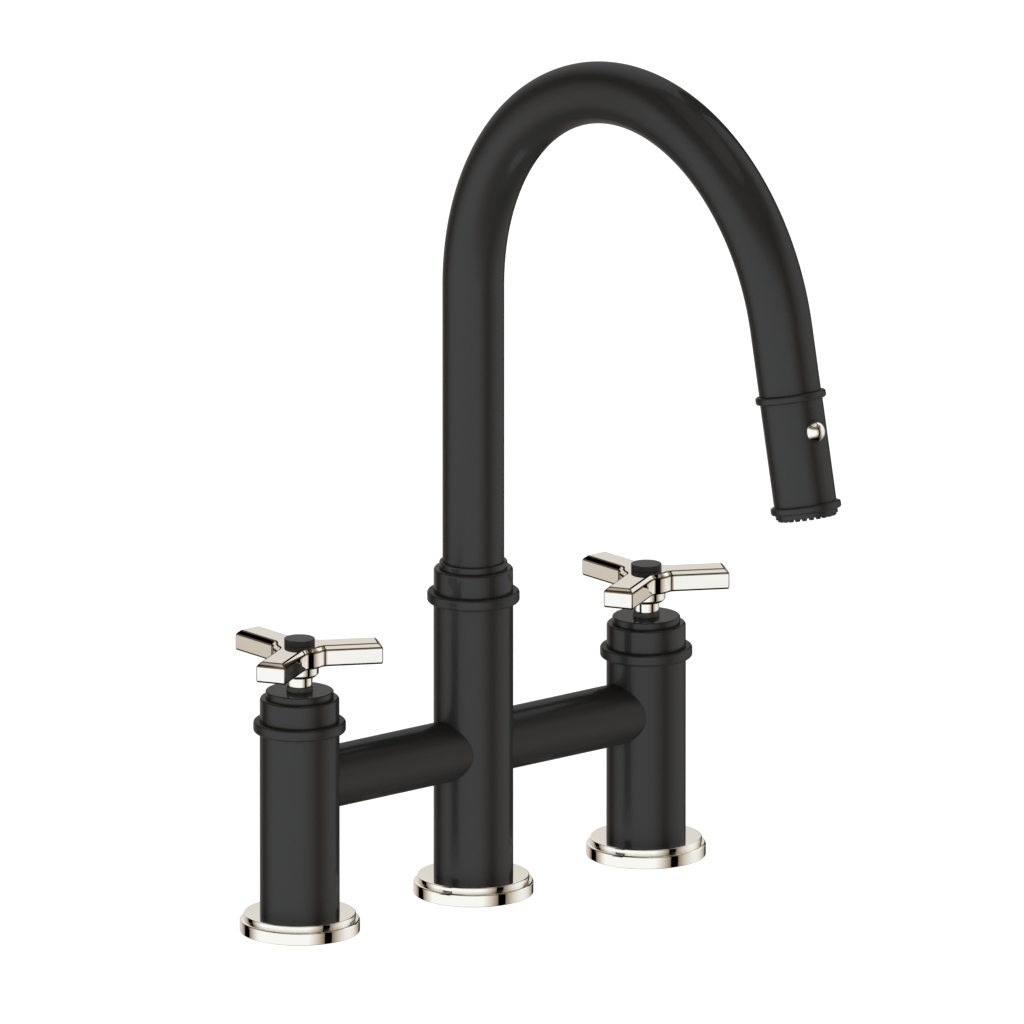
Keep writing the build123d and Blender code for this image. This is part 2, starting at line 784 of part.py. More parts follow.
def wand_shell():
    """Barrel of the wand, with the neck that docks in the spout and a hole for the button."""
    barrel = turned(
        [
            (NECK_BORE_R, -16),
            (NECK_R - 1, -16),
            (NECK_R, -14),
            (NECK_R, 0),
            (RING_SEAT_R, 0),
            (RING_SEAT_R, WAND_RING_HEIGHT),
            (WAND_R, WAND_RING_HEIGHT),
            (WAND_R, LOWER_RING_START),
            (RING_SEAT_R + 0.3, LOWER_RING_START),
            (RING_SEAT_R + 0.3, LOWER_RING_END),
            (SHELL_BORE_R, LOWER_RING_END),
            (SHELL_BORE_R, 8),
            (8.6, 6),
            (8.6, -1.1),
            (NECK_BORE_R, -1.1),
        ]
    )
    return WAND * barrel - across_wand(rod(BUTTON_R + 0.2, 0, 20))


def wand_ring(start, seat_r):
    """Raised ring round the wand."""
    end = start + WAND_RING_HEIGHT
    outline = [(seat_r + SEAT_GAP, start), (WAND_RING_R, start), (WAND_RING_R, end), (seat_r + SEAT_GAP, end)]
    return WAND * turned(outline, rounds=[(1, 1.1), (2, 1.1)])


BUTTON_REAR = 9.5
POCKET_FLOOR = 7.4
SPOOL_R = 3.0
SPRING_TOP = 13.0


def diverter_body():
    """Plastic block with the cross bore of the diverter spool and the pocket behind the button."""
    block = rod(SHELL_BORE_R - SEAT_GAP, 11, 34)
    inlet = rod(3.2, 10, BUTTON_ALONG)
    outlets = [Pos(x, 0, 0) * rod(2.4, BUTTON_ALONG, 35) for x in (-5.5, 5.5)]
    cross_ways = along_x(rod(2.0, -5.5, 5.5))
    shaped = block - inlet - outlets - Pos(0, 0, BUTTON_ALONG) * cross_ways
    spool_bore = rod(SPOOL_R + RUNNING_GAP, -9.5, 20)
    pocket = rod(BUTTON_R + 0.2, POCKET_FLOOR, 20)
    return WAND * shaped - across_wand(spool_bore) - across_wand(pocket)


def spray_button():
    """Polished button with a full dome, hollow behind for its spring."""
    dome_r = (BUTTON_R**2 + BUTTON_DOME**2) / (2 * BUTTON_DOME)
    top = BUTTON_RIM + BUTTON_DOME
    dome = Pos(0, 0, top - dome_r) * Sphere(dome_r) & rod(BUTTON_R, BUTTON_RIM, top + 1)
    shaft = rod(BUTTON_R, BUTTON_REAR, BUTTON_RIM)
    spring_hollow = rod(4.3, BUTTON_REAR, SPRING_TOP)
    return across_wand(shaft + dome - spring_hollow)


def diverter_spool():
    """Grooved spool that the button pushes through the block."""
    grooves = [-5.5, 0.5, 6.0]
    groove_r = 2.2
    outline = [(0, -8), (SPOOL_R, -8)]
    for place in grooves:
        outline += [(SPOOL_R, place - 0.7), (groove_r, place - 0.7), (groove_r, place + 0.7), (SPOOL_R, place + 0.7)]
    outline += [(SPOOL_R, SPRING_TOP), (0, SPRING_TOP)]
    return across_wand(turned(outline))


def button_spring():
    """Return spring of the button, as a plain sleeve."""
    return across_wand(ring(4.2, 3.2, POCKET_FLOOR, SPRING_TOP))


AERATOR_R = 8.5
FACE_START = LOWER_RING_END + 0.05


def spray_face():
    """Spray face: a plate over the end of the wand, on a collar that plugs into the shell."""
    recess_r = FACE_R - 0.45
    return WAND * turned(
        [
            (AERATOR_R + SEAT_GAP, 44),
            (SHELL_BORE_R - SEAT_GAP, 44),
            (SHELL_BORE_R - SEAT_GAP, FACE_START),
            (FACE_R, FACE_START),
            (FACE_R, FACE_END + 0.3),
            (recess_r, FACE_END + 0.3),
            (recess_r, FACE_END),
            (AERATOR_R + SEAT_GAP, FACE_END),
        ]
    )


def nozzle_mat():
    """Rubber ring on the spray face, with nozzles round its rim and a second circle inside."""
    mat_top = FACE_END + 0.45
    root = mat_top - 0.2
    mat = ring(FACE_R - 0.5, AERATOR_R + 0.1, FACE_END, mat_top)
    rim_nozzle = turned([(0, root), (1.3, root), (1.05, NOZZLE_END), (0, NOZZLE_END)])
    inner_nozzle = turned([(0, root), (0.8, root), (0.6, NOZZLE_END - 0.4), (0, NOZZLE_END - 0.4)])
    mat += [place * rim_nozzle for place in PolarLocations(NOZZLE_CIRCLE_R, NOZZLE_COUNT)]
    mat += [place * inner_nozzle for place in PolarLocations(INNER_NOZZLE_CIRCLE_R, NOZZLE_COUNT // 2)]
    return WAND * mat


def aerator():
    """Round insert in the middle of the face, with a honeycomb of holes."""
    housing = turned(
        [
            (6.6, 44.5),
            (AERATOR_R, 44.5),
            (AERATOR_R, FACE_END + 0.2),
            (7.4, FACE_END + 0.2),
            (7.0, FACE_END - 1),
            (0, FACE_END - 1),
            (0, FACE_END - 2.5),
            (6.6, FACE_END - 2.5),
        ]
    )
    holes = [loc * rod(0.8, 50, 57) for loc in HexLocations(1.35, 5, 5) if loc.position.length < 6.0]
    return WAND * (housing - holes)


# ---------------------------------------------------------------- the whole faucet
def build():
    """Every node of the faucet, by name."""
    parts = {
        "middle_flange": flange(),
        "deck_gaskets": [LEFT * deck_gasket(), deck_gasket(), RIGHT * deck_gasket()],
        "left_pillar": LEFT * side_pillar(1),
        "middle_pillar": middle_pillar(),
        "right_pillar": RIGHT * side_pillar(-1),
        "left_bridge_tube": LEFT * bridge_tube(),
        "right_bridge_tube": bridge_tube(),
        "seat_seals": on_both_sides(seat_seal()),
        "fixed_discs": on_both_sides(fixed_disc()),
        "stem_bushings": on_both_sides(stem_bushing()),
        "middle_shank": middle_shank(),
        "friction_washers": for_each_shank(friction_washer),
        "clamp_washers": for_each_shank(clamp_washer),
        "fixing_nuts": for_each_shank(fixing_nut),
        "hose_guide": hose_guide(),
        "outlet_manifold": outlet_manifold(),
        "middle_trim_ring": trim_ring(MIDDLE_PILLAR_TOP),
        "middle_bonnet": middle_bonnet(),
        "swivel_bearing": swivel_bearing(),
        "spout_tube": spout_tube(),
        "spout_journal": spout_journal(),
        "swivel_rings": swivel_rings(),
        "spout_clip": spout_clip(),
        "spout_dock": spout_dock(),
        "dock_magnet": dock_magnet(),
        "spray_hose": spray_hose(),
        "hose_coupling": hose_coupling(),
        "wand_shell": wand_shell(),
        "wand_top_ring": wand_ring(0, RING_SEAT_R),
        "wand_bottom_ring": wand_ring(LOWER_RING_START, RING_SEAT_R + 0.3),
        "diverter_body": diverter_body(),
        "spray_button": spray_button(),
        "diverter_spool": diverter_spool(),
        "button_spring": button_spring(),
        "spray_face": spray_face(),
        "nozzle_mat": nozzle_mat(),
        "aerator": aerator(),
    }
    for side, place in (("left", LEFT), ("right", RIGHT)):
        pieces = {
            "flange": flange(),
            "shank": side_shank(),
            "trim_ring": trim_ring(SIDE_PILLAR_TOP),
            "bonnet": side_bonnet(),
            "moving_disc": moving_disc(),
            "cartridge_body": cartridge_body(),
            "spindle": spindle(),
            "handle_sleeve": handle_sleeve(),
            "handle": handle(),
            "handle_screw": handle_screw(),
            "index_cap": index_cap(),
        }
        for name, piece in pieces.items():
            parts[f"{side}_{name}"] = place * piece
    return parts


os.makedirs("parts", exist_ok=True)
for name, piece in build().items():
    shape = Compound(children=list(piece)) if isinstance(piece, list) else piece
    export_step(shape, f"parts/{name}.step")
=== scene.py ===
from math import atan2, cos, pi, radians, sin, sqrt

import bmesh
import bpy
from mathutils import Matrix, Vector


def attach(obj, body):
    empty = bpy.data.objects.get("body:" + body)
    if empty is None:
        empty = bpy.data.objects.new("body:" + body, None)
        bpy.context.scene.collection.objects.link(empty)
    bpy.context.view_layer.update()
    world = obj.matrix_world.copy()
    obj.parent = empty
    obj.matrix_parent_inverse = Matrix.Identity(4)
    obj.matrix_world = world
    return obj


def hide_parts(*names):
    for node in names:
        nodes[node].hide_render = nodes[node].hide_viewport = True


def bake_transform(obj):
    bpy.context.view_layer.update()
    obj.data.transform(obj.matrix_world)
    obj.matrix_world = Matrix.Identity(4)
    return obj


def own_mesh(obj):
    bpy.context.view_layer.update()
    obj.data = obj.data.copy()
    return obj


# The bridge faucet stands on its deck flanges at Z = 0, with the bridge along X, the hot side at -X
# and the spout reaching towards -Y. Everything is in metres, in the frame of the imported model.
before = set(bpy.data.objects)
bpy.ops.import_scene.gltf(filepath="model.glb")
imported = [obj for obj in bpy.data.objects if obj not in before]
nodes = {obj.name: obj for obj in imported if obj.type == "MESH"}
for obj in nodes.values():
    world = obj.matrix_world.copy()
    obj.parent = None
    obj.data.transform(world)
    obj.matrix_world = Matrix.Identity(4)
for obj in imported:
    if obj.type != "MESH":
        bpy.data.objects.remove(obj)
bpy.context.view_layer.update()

# ---------------------------------------------------------------- the view
# A long lens from far off to the left front, a little above the handles, which shows the faucet
# almost without perspective, as the photograph does.
view_azimuth = radians(-39.72)
view_elevation = radians(14.93)
view_distance = 21.205
view_centre = Vector((0.04137, 0.02254, 0.16583))
towards_camera = Vector(
    (
        sin(view_azimuth) * cos(view_elevation),
        -cos(view_azimuth) * cos(view_elevation),
        sin(view_elevation),
    )
)

camera_data = bpy.data.cameras.new("camera")
camera_data.lens = 1650.0
camera_data.sensor_width = 36.0
camera_data.clip_start = 1.0
camera_data.clip_end = 100.0
camera = bpy.data.objects.new("camera", camera_data)
camera.location = view_centre + towards_camera * view_distance
camera.rotation_euler = (-towards_camera).to_track_quat("-Z", "Y").to_euler()
bpy.context.scene.collection.objects.link(camera)
bpy.context.scene.camera = camera
bpy.context.scene.view_settings.view_transform = "Standard"


# ---------------------------------------------------------------- the light tent
# Soft white walls stand round the faucet, with three narrow black gaps between them, and meet a
# dimmer roof at a dark seam. They fade towards each gap, the roof and the floor, and whatever is dim
# is also warm. Straight below it is white again, and only the camera sees plain white all over.
class Signal:
    """One socket of a node tree. Arithmetic on it adds Math nodes, and node() adds any other node."""

    def __init__(self, socket):
        self.socket = socket

    def node(self, kind, settings, values, output=0):
        tree = self.socket.id_data
        made = tree.nodes.new(kind)
        for name, setting in settings.items():
            setattr(made, name, setting)
        for name, value in values.items():
            if isinstance(value, Signal):
                tree.links.new(value.socket, made.inputs[name])
            else:
                made.inputs[name].default_value = value
        return Signal(made.outputs[output]) if made.outputs else None

    def maths(self, operation, first, second):
        return self.node("ShaderNodeMath", {"operation": operation}, {0: first, 1: second})

    def __add__(self, other):
        return self.maths("ADD", self, other)

    __radd__ = __add__

    def __sub__(self, other):
        return self.maths("SUBTRACT", self, other)

    def __rsub__(self, other):
        return self.maths("SUBTRACT", other, self)

    def __mul__(self, other):
        return self.maths("MULTIPLY", self, other)

    __rmul__ = __mul__

    def __gt__(self, other):
        return self.maths("GREATER_THAN", self, other)

    def smooth(self, low, high):
        """0 below low, 1 above high, and smooth between."""
        values = {"Value": self, 1: low, 2: high}
        return self.node("ShaderNodeMapRange", {"interpolation_type": "SMOOTHSTEP"}, values)

    def mixed(self, first, second):
        """The first colour where the signal is 0, and the second where it is 1."""
        return self.node("ShaderNodeMix", {"data_type": "RGBA"}, {0: self, 6: first, 7: second}, 2)


facing = radians(230.0)  # direction in plan from the faucet to the camera
# Each gap: its turn from there, its half width, the width of the fade beside it, how far it closes.
gaps = ((57.0, 7.9, 31.0, 0.0), (-121.7, 9.2, 27.0, 0.0), (161.0, 7.0, 35.0, 0.85))
closing_heights = (radians(-5.0), radians(45.0))  # where a gap begins to close, and has closed
gap_tops = (radians(50.0), radians(64.0))  # where every gap begins to end, and has ended
fade_depth = 0.85
wall_strength = 1.55
wall_bottom = (radians(-66.0), radians(-18.0))
bottom_lean = radians(9.0)
wall_top = (radians(15.0), radians(52.0))
back_rise = radians(25.0)  # how much higher the walls reach behind the faucet
back_start = (-0.8, -0.2)  # cosines of the turns between which they rise
wall_limit = 1.02
roof_start = (radians(40.0), radians(72.0))
roof_strength = 0.64
roof_lean = 0.16
seam_height = radians(62.0)  # a dark line where the walls meet the roof
seam_edges = (radians(2.5), radians(5.0))
floor_edge = (radians(-81.0), radians(-77.0))  # white again straight below
bright_side = radians(49.0)
dim_colour = (1.0, 0.83, 0.62, 1.0)
bright_colour = (1.0, 1.07, 1.18, 1.0)
dim_to_bright = (0.1, 1.3)

world = bpy.data.worlds.new("tent")
world.use_nodes = True
bpy.context.scene.world = world
world.node_tree.nodes.clear()
look = Signal(world.node_tree.nodes.new("ShaderNodeTexCoord").outputs["Generated"])
turned_look = look.node(
    "ShaderNodeVectorRotate", {"rotation_type": "Z_AXIS"}, {"Vector": look, "Angle": -facing}
)
along = turned_look.node("ShaderNodeSeparateXYZ", {}, {0: turned_look}, "X")
across = turned_look.node("ShaderNodeSeparateXYZ", {}, {0: turned_look}, "Y")
height = turned_look.node("ShaderNodeSeparateXYZ", {}, {0: turned_look}, "Z")
azimuth = across.maths("ARCTAN2", across, along)
elevation = height.node("ShaderNodeMath", {"operation": "ARCSINE"}, {0: height})
raised = elevation.smooth(*closing_heights)
ahead = azimuth.node("ShaderNodeMath", {"operation": "COSINE"}, {0: azimuth}).smooth(*back_start)
lowered = elevation - (1.0 - ahead) * back_rise
lean = azimuth.node("ShaderNodeMath", {"operation": "COSINE"}, {0: azimuth - bright_side})
standing = (elevation - lean * bottom_lean).smooth(*wall_bottom)
level = standing * (1.0 - lowered.smooth(*wall_top)) * wall_strength
roof = elevation.smooth(*roof_start) * (lean * roof_lean + roof_strength)
unbroken = 1.0
for direction, half_width, fade_width, closing in gaps:
    turn = azimuth - radians(direction)
    nearest = turn.node("ShaderNodeMath", {"operation": "WRAP"}, {0: turn, 1: pi, 2: -pi})
    away = nearest.node("ShaderNodeMath", {"operation": "ABSOLUTE"}, {0: nearest}) - radians(half_width)
    fading = away * (-1.0 / radians(fade_width))
    fade = fading.node("ShaderNodeMath", {"operation": "EXPONENT"}, {0: fading})
    level = level * (1.0 - fade * fade_depth * (1.0 - raised * closing))
    unbroken = (away > 0.0) * unbroken
roof_unbroken = unbroken.maths("MAXIMUM", unbroken, elevation.smooth(*gap_tops))
level = level.maths("MINIMUM", level * unbroken + roof * roof_unbroken, wall_limit)
above_seam = elevation - seam_height
from_seam = above_seam.node("ShaderNodeMath", {"operation": "ABSOLUTE"}, {0: above_seam})
level = level * from_seam.smooth(*seam_edges) + (1.0 - elevation.smooth(*floor_edge))
tint = level.smooth(*dim_to_bright).mixed(dim_colour, bright_colour)
glow = tint.node("ShaderNodeBackground", {}, {"Color": tint, "Strength": level})
plain = tint.node("ShaderNodeBackground", {}, {"Color": (1.0, 1.0, 1.0, 1.0), "Strength": 1.0})
seen = tint.node("ShaderNodeLightPath", {}, {}, "Is Camera Ray")
shown = seen.node("ShaderNodeMixShader", {}, {0: seen, 1: glow, 2: plain})
shown.node("ShaderNodeOutputWorld", {}, {"Surface": shown})

# ---------------------------------------------------------------- the worktop
# A plain white top, wide enough to pass for a studio floor. It keeps a faint shadow where the
# flanges meet it, and mirrors show the tent instead of it.
top_size = 12.0
top_grey = (0.5, 0.5, 0.5, 1.0)
top_glow = 0.90
top_mesh = bmesh.new()
bmesh.ops.create_grid(top_mesh, x_segments=1, y_segments=1, size=top_size / 2)
top_data = bpy.data.meshes.new("worktop")
top_mesh.to_mesh(top_data)
top_mesh.free()
worktop = bpy.data.objects.new("worktop", top_data)
bpy.context.scene.collection.objects.link(worktop)
worktop.visible_glossy = False

white_top = bpy.data.materials.new("white worktop")
white_top.use_nodes = True
white_top.node_tree.nodes.clear()
place = Signal(white_top.node_tree.nodes.new("ShaderNodeTexCoord").outputs["Object"])
shade = place.node("ShaderNodeBsdfDiffuse", {}, {"Color": top_grey})
glow = place.node("ShaderNodeEmission", {}, {"Color": (1.0, 1.0, 1.0, 1.0), "Strength": top_glow})
both = shade.node("ShaderNodeAddShader", {}, {0: shade, 1: glow})
both.node("ShaderNodeOutputMaterial", {}, {"Surface": both})
top_data.materials.append(white_top)


# ---------------------------------------------------------------- shanks
# Three brass shanks stand in the deck holes and screw up into the pillars. Each is turned from bar
# with a pipe thread cut along it, and the middle one is wider, because the hose passes through it.
def turned(outline, rounds=(), steps=96):
    """A bmesh turned about Z from its corners, each a radius and a height in millimetres. Each of its
    rounds names a corner and its size."""
    shape = bmesh.new()
    corners = [shape.verts.new((r / 1000, 0, z / 1000)) for r, z in outline]
    ends_on_axis = outline[0][0] == 0 and outline[-1][0] == 0
    for start, end in zip(corners, corners[1:] if ends_on_axis else corners[1:] + corners[:1]):
        shape.edges.new((start, end))
    for corner, size in rounds:
        bmesh.ops.bevel(
            shape,
            geom=[corners[corner]],
            offset=size / 1000,
            affect="VERTICES",
            segments=max(3, round(4 * size)),
            profile=0.5,
            material=-1,
        )
    profile = shape.verts[:] + shape.edges[:]
    bmesh.ops.spin(shape, geom=profile, axis=(0, 0, 1), angle=2 * pi, steps=steps, use_merge=True)
    bmesh.ops.remove_doubles(shape, verts=shape.verts, dist=1e-6)
    bmesh.ops.recalc_face_normals(shape, faces=shape.faces)
    return shape


def placed(shape, place_matrix):
    """The same bmesh, moved to its place in the faucet."""
    bmesh.ops.transform(shape, matrix=place_matrix, verts=shape.verts)
    return shape


def piece(name, shape, body, slot, finish, *stands_for):
    """A piece of the faucet from a bmesh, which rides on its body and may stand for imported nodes."""
    data = bpy.data.meshes.new(name)
    shape.to_mesh(data)
    shape.free()
    data.shade_smooth()
    data.set_sharp_from_angle(angle=radians(40.0))
    data.materials.append(finish)
    made = bpy.data.objects.new(name, data)
    bpy.context.scene.collection.objects.link(made)
    if body:
        evened = made.modifiers.new("flat faces stay flat", "WEIGHTED_NORMAL")
        evened.keep_sharp = True
        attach(made, body)
    if stands_for:
        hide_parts(*stands_for)
    return made


def new_finish(name, settings):
    """A Principled material with its constant sockets set, and a signal of its Object coordinates."""
    material = bpy.data.materials.new(name)
    material.use_nodes = True
    surface = material.node_tree.nodes["Principled BSDF"]
    for socket, value in settings.items():
        surface.inputs[socket].default_value = value
    coordinates = material.node_tree.nodes.new("ShaderNodeTexCoord")
    return material, surface, Signal(coordinates.outputs["Object"])


def feed(surface, socket, signal):
    """Links a signal to a socket of the surface."""
    surface.id_data.links.new(signal.socket, surface.inputs[socket])


def mottle(where, width, detail=2.0):
    """Cloudy variation from about 0.3 to 0.7, whose blotches are width millimetres across."""
    values = {"Vector": where, "Scale": 1000 / width, "Detail": detail}
    return where.node("ShaderNodeTexNoise", {}, values)


def stretched(where, x, y, z):
    """Object coordinates multiplied on each axis: a small factor draws a pattern out along its axis."""
    return where.node("ShaderNodeVectorMath", {"operation": "MULTIPLY"}, {0: where, 1: (x, y, z)})


def relief(surface, height, depth, strength):
    """Feeds the Normal socket from a height signal that is worth depth millimetres."""
    values = {"Height": height, "Strength": strength, "Distance": depth / 1000}
    feed(surface, "Normal", height.node("ShaderNodeBump", {}, values, "Normal"))


def coat(material, *names):
    """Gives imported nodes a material."""
    for name in names:
        nodes[name].material_slots[0].material = material


def under_deck(*things):
    """Keeps what the deck would hide out of the mirrors of the polished flanges."""
    for thing in things:
        thing.visible_glossy = False


brass, surface, place = new_finish("machined brass", {"Metallic": 1.0})
cut_lines = mottle(stretched(place, 0.05, 0.05, 1.0), 0.16)
tarnish = mottle(place, 9.0, 4.0)
bright_brass, dull_brass = (0.80, 0.60, 0.30, 1.0), (0.62, 0.42, 0.19, 1.0)
feed(surface, "Base Color", tarnish.smooth(0.35, 0.7).mixed(bright_brass, dull_brass))
feed(surface, "Roughness", tarnish * 0.25 + cut_lines * 0.12 + 0.12)
relief(surface, cut_lines, 0.012, 0.6)

pillar_spacing = 101.6
outer_pillars = (("left", -pillar_spacing), ("right", pillar_spacing))
all_pillars = (("left", -pillar_spacing), ("middle", 0.0), ("right", pillar_spacing))
outer_shank, middle_shank = (10.3, 6.5, -40.0), (13.2, 10.5, -34.0)  # radius, bore, lower end
shank_top = 23.5
thread_pitch, thread_depth, thread_end = 1.8, 0.9, 20.0
thread_start, thread_sunk, thread_steps = 0.7, 0.1, 40
for side, x in all_pillars:
    shank_r, shank_bore_r, shank_bottom = outer_shank if x else middle_shank
    root_r = shank_r - thread_depth
    shank_outline = [
        (shank_bore_r, shank_bottom),
        (root_r, shank_bottom),
        (root_r, shank_top),
        (shank_bore_r, shank_top),
    ]
    shape = turned(shank_outline, rounds=[(1, 0.4)])
    ridge_foot = root_r - thread_sunk
    ridge_corners = [
        shape.verts.new((r / 1000, 0, (shank_bottom + thread_start + z) / 1000))
        for r, z in ((ridge_foot, 0.05), (shank_r, 0.75), (shank_r, 1.05), (ridge_foot, 1.75))
    ]
    ridge = shape.faces.new(ridge_corners)
    turns = int((thread_end - shank_bottom - thread_start - thread_pitch) / thread_pitch)
    bmesh.ops.spin(
        shape,
        geom=[ridge, *ridge.edges, *ridge.verts],
        axis=(0, 0, 1),
        dvec=(0, 0, thread_pitch / 1000 / thread_steps),
        angle=2 * pi * turns,
        steps=thread_steps * turns,
    )
    bmesh.ops.recalc_face_normals(shape, faces=shape.faces)
    placed(shape, Matrix.Translation((x / 1000, 0, 0)))
    under_deck(piece(side + "_threaded_shank", shape, "column", "brass", brass, side + "_shank"))

# ---------------------------------------------------------------- washers and fixing nuts
# Under the deck a rubber washer, a stamped steel washer and a brass hexagon nut clamp each shank.
# The rubber keeps the faucet from turning, and the steel spreads the nut's load.
rubber, surface, place = new_finish("black rubber", {"Roughness": 0.7, "Specular IOR Level": 0.35})
bloom = mottle(place, 5.0, 5.0)
rubber_black, rubber_grey = (0.016, 0.016, 0.017, 1.0), (0.034, 0.034, 0.036, 1.0)
feed(surface, "Base Color", bloom.smooth(0.4, 0.75).mixed(rubber_black, rubber_grey))
feed(surface, "Roughness", bloom * 0.3 + 0.55)
relief(surface, mottle(place, 0.25), 0.03, 0.5)

steel, surface, place = new_finish("stamped stainless steel", {"Metallic": 1.0})
rolled = mottle(stretched(place, 0.04, 1.0, 1.0), 0.2, 3.0)
steel_dark, steel_light = (0.58, 0.58, 0.59, 1.0), (0.68, 0.68, 0.69, 1.0)
feed(surface, "Base Color", mottle(place, 12.0).mixed(steel_dark, steel_light))
feed(surface, "Roughness", rolled * 0.25 + 0.18)
relief(surface, rolled, 0.01, 0.5)

coat(rubber, "friction_washers")
coat(steel, "clamp_washers")
coat(brass, "fixing_nuts")
under_deck(nodes["friction_washers"], nodes["clamp_washers"], nodes["fixing_nuts"])

# ---------------------------------------------------------------- outlet manifold and hose guide
# The brass collar on the middle shank gathers the mixed water to a nipple at its back, and a thin
# steel tube up the middle keeps the spray hose apart from the water.
coat(brass, "outlet_manifold")
coat(steel, "hose_guide")
under_deck(nodes["outlet_manifold"], nodes["hose_guide"])

# ---------------------------------------------------------------- deck gaskets
# A soft rubber ring, cut from sheet, lies in the recess under each flange. It seals the flange to
# the deck when the nut below is drawn up.
coat(rubber, "deck_gaskets")
under_deck(nodes["deck_gaskets"])

# ---------------------------------------------------------------- deck flanges
# Three stepped covers, turned from brass, polished, and plated with warm nickel. A fine groove
# parts the wide foot from the smaller disc on top of it.
nickel, surface, place = new_finish("polished nickel", {"Metallic": 1.0})
haze = mottle(place, 14.0, 3.0)
clear_nickel, hazy_nickel = (0.918, 0.890, 0.800, 1.0), (0.898, 0.870, 0.780, 1.0)
feed(surface, "Base Color", haze.mixed(clear_nickel, hazy_nickel))
wiped = mottle(stretched(place, 1.0, 1.0, 0.2), 2.5, 4.0)
feed(surface, "Roughness", haze * 0.03 + wiped * 0.03 + 0.005)
relief(surface, mottle(place, 6.0, 1.0), 0.004, 0.25)

flange_bore_r, recess_r, recess_top = 15.5, 22.0, 2.0
foot_r, foot_top = 27.15, 5.8
disc_r, disc_bottom, disc_top = 25.35, 6.4, 8.5
parting_r = 24.85
flange_outline = [
    (flange_bore_r, recess_top),
    (recess_r, recess_top),
    (recess_r, 0),
    (foot_r, 0),
    (foot_r, foot_top),
    (parting_r, foot_top),
    (parting_r, disc_bottom),
    (disc_r, disc_bottom),
    (disc_r, disc_top),
    (flange_bore_r, disc_top),
]
flange_rounds = [(3, 0.3), (4, 1.0), (5, 0.1), (6, 0.1), (7, 0.15), (8, 0.6)]
for side, x in all_pillars:
    shape = turned(flange_outline, flange_rounds, steps=160)
    placed(shape, Matrix.Translation((x / 1000, 0, 0)))
    piece(side + "_deck_flange", shape, "column", "polished_nickel", nickel, side + "_flange")

# ---------------------------------------------------------------- pillars
# Three straight brass pillars, coated matte black. The coating is a fine even grain, a little
# duller in some places than in others.
def coated_black(name, dark, light, gloss, blur):
    """Metal under a fine matte black coating: gloss is the weight of the smooth skin over its grain."""
    black, surface, place = new_finish(
        name,
        {
            "Metallic": 0.555,
            "Specular IOR Level": 0.0,
            "Specular Tint": (0.55, 0.55, 0.55, 1.0),
            "Coat Roughness": blur,
        },
    )
    grain = mottle(place, 0.22, 1.0)
    patches = mottle(place, 18.0, 3.0)
    dark_colour, light_colour = ((grey, grey * 0.99, grey * 0.975, 1.0) for grey in (dark, light))
    feed(surface, "Base Color", grain.smooth(0.3, 0.7).mixed(dark_colour, light_colour))
    feed(surface, "Roughness", grain * 0.05 + patches * 0.05 + 0.29)
    feed(surface, "Coat Weight", patches * 0.06 + gloss)
    relief(surface, grain, 0.006, 0.5)
    return black


matte_black = coated_black("matte black coating", 0.0438, 0.0522, 0.13, 0.07)
coat(matte_black, "left_pillar", "middle_pillar", "right_pillar")

# ---------------------------------------------------------------- bridge
# Two lengths of the same coated tube join the pillars, coped to them, and carry hot and cold water
# to the middle one.
coat(matte_black, "left_bridge_tube", "right_bridge_tube")

# ---------------------------------------------------------------- valve cartridges
# In each outer pillar a brass cartridge presses two lapped ceramic discs together over a rubber
# seal, and its spindle turns the upper disc a quarter turn. An acetal bushing steadies the spindle.
ceramic, surface, place = new_finish("lapped ceramic", {"Specular IOR Level": 0.6})
ceramic_white, ceramic_cream = (0.90, 0.89, 0.86, 1.0), (0.84, 0.83, 0.80, 1.0)
feed(surface, "Base Color", mottle(place, 0.5, 3.0).mixed(ceramic_white, ceramic_cream))
feed(surface, "Roughness", mottle(place, 1.5, 4.0) * 0.15 + 0.08)
relief(surface, mottle(place, 0.3), 0.004, 0.4)

# The bushing's black acetal is painted paler than the plastic really is. This is painted light, lifting
# the bushing out of the shade under the handle's arms.
acetal, surface, place = new_finish("black acetal painted lighter", {"Specular IOR Level": 0.5})
turning_marks = mottle(stretched(place, 0.1, 0.1, 1.0), 0.15)
acetal_dark_painted_lighter, acetal_light_painted_lighter = (0.088, 0.086, 0.082, 1.0), (0.104, 0.101, 0.097, 1.0)
feed(surface, "Base Color", mottle(place, 2.0).mixed(acetal_dark_painted_lighter, acetal_light_painted_lighter))
feed(surface, "Roughness", turning_marks * 0.2 + 0.14)
relief(surface, turning_marks, 0.004, 0.4)

coat(rubber, "seat_seals")
coat(ceramic, "fixed_discs", "left_moving_disc", "right_moving_disc")
coat(brass, "left_cartridge_body", "right_cartridge_body", "left_spindle", "right_spindle")
coat(acetal, "stem_bushings")

# ---------------------------------------------------------------- trim rings and bonnets
# A raised ring with rounded edges caps each pillar, and a two-step bonnet screws down on it. Both
# are turned from brass and coated like the pillars.
coat(matte_black, "left_trim_ring", "middle_trim_ring", "right_trim_ring")
satin_black = coated_black("satin black coating", 0.0385, 0.0455, 0.29, 0.03)
coat(satin_black, "left_bonnet", "middle_bonnet", "right_bonnet")

